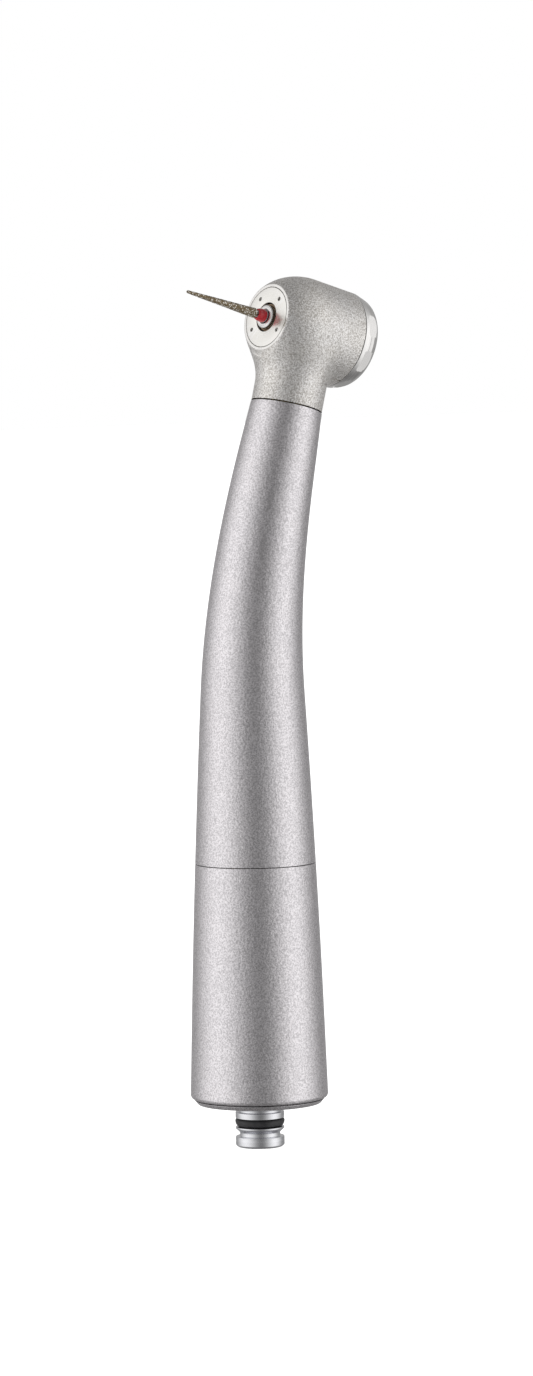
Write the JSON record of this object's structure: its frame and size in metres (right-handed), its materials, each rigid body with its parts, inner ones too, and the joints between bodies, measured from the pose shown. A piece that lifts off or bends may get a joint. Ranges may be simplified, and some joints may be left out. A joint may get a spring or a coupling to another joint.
{
  "type": "high speed dental handpiece",
  "caption": "Bent dental air-turbine handpiece: push-button head with a friction-grip diamond bur, tapered satin handle, and a sealed coupling spigot at the rear.",
  "frame": {"origin": "centre of the handle's flat rear face, on the axis of the coupling spigot", "axes": "+Z along the handle from its rear face to the head; the neck leans to +X, the bur points to -X, and XZ is the plane of the bend"},
  "size_m": [0.0269, 0.017, 0.1074],
  "materials": {
    "blasted_steel": "coarse bead-blasted stainless steel",
    "satin_steel": "fine bead-blasted stainless steel",
    "polished_steel": "turned and polished",
    "bearing_steel": "ground",
    "bronze": "dark turned bronze",
    "brass": "turned",
    "spring_steel": "drawn wire",
    "ceramic": "polished ceramic",
    "cage_resin": "machined resin",
    "rubber": "moulded O-ring",
    "red_band": "enamel",
    "diamond_grit": "diamond grit in nickel"
  },
  "bodies": {
    "root": {"head_housing": "blasted_steel", "face_plate": "polished_steel", "head_cap": "polished_steel", "cap_backing_plate": "bearing_steel", "rear_bearing_cup": "bearing_steel", "button_spring": "spring_steel", "preload_washer": "spring_steel", "front_bearing_oring": "rubber", "rear_bearing_oring": "rubber", "front_outer_race": "bearing_steel", "rear_outer_race": "bearing_steel", "front_shell": "satin_steel", "rear_sleeve": "satin_steel", "rear_lock_ring": "satin_steel", "middle_connector": "brass", "connector_oring_front": "rubber", "connector_oring_rear": "rubber", "coupling_spigot": "bearing_steel", "spigot_oring": "rubber", "manifold": "brass", "manifold_oring": "rubber", "neck_tube_block": "brass", "drive_air_tube": "bearing_steel", "water_tube": "bearing_steel", "chip_air_tube": "bearing_steel", "check_valve_seat": "brass", "check_valve_spring": "spring_steel"},
    "rotor": {"spindle": "polished_steel", "impeller": "bearing_steel", "slinger_ring": "bronze", "chuck_collet": "bearing_steel", "front_inner_race": "bearing_steel", "rear_inner_race": "bearing_steel"},
    "front_cage": {"front_cage": "cage_resin", "front_ball_1": "ceramic", "front_ball_2": "ceramic", "front_ball_3": "ceramic", "front_ball_4": "ceramic", "front_ball_5": "ceramic", "front_ball_6": "ceramic", "front_ball_7": "ceramic"},
    "rear_cage": {"rear_cage": "cage_resin", "rear_ball_1": "ceramic", "rear_ball_2": "ceramic", "rear_ball_3": "ceramic", "rear_ball_4": "ceramic", "rear_ball_5": "ceramic", "rear_ball_6": "ceramic", "rear_ball_7": "ceramic"},
    "bur": {"bur_shank": "bearing_steel", "bur_colour_band": "red_band", "bur_diamond": "diamond_grit"},
    "chuck_plunger": {"chuck_plunger": "bearing_steel"},
    "push_button": {"push_button": "polished_steel"},
    "check_valve_ball": {"check_valve_ball": "ceramic"}
  },
  "joints": [
    {"name": "rotor_spin", "type": "hinge", "parent": "root", "child": "rotor", "pos_m": [0.00871, 0, 0.09557], "axis": [-0.9659, 0, 0.2588], "continuous": true},
    {"name": "front_cage_spin", "type": "hinge", "parent": "root", "child": "front_cage", "pos_m": [0.00871, 0, 0.09557], "axis": [-0.9659, 0, 0.2588], "continuous": true},
    {"name": "rear_cage_spin", "type": "hinge", "parent": "root", "child": "rear_cage", "pos_m": [0.00871, 0, 0.09557], "axis": [-0.9659, 0, 0.2588], "continuous": true},
    {"name": "button_press", "type": "slide", "parent": "root", "child": "push_button", "axis": [-0.9659, 0, 0.2588], "range_m": [0, 0.0008], "stiffness_N_per_m": 8000, "springref_m": -0.0003, "deforming": ["button_spring"]},
    {"name": "chuck_release", "type": "slide", "parent": "rotor", "child": "chuck_plunger", "axis": [-0.9659, 0, 0.2588], "range_m": [0, 0.0006]},
    {"name": "bur_pull", "type": "slide", "parent": "rotor", "child": "bur", "axis": [-0.9659, 0, 0.2588], "range_m": [0, 0.013]},
    {"name": "check_valve_lift", "type": "slide", "parent": "root", "child": "check_valve_ball", "axis": [0, 0, 1], "range_m": [0, 0.0005], "stiffness_N_per_m": 10, "springref_m": -0.0002, "deforming": ["check_valve_spring"]}
  ],
  "couplings": [
    {"joint": "front_cage_spin", "follows": "rotor_spin", "ratio": 0.395},
    {"joint": "rear_cage_spin", "follows": "rotor_spin", "ratio": 0.395},
    {"joint": "chuck_release", "follows": "button_press", "ratio": 0.75}
  ]
}
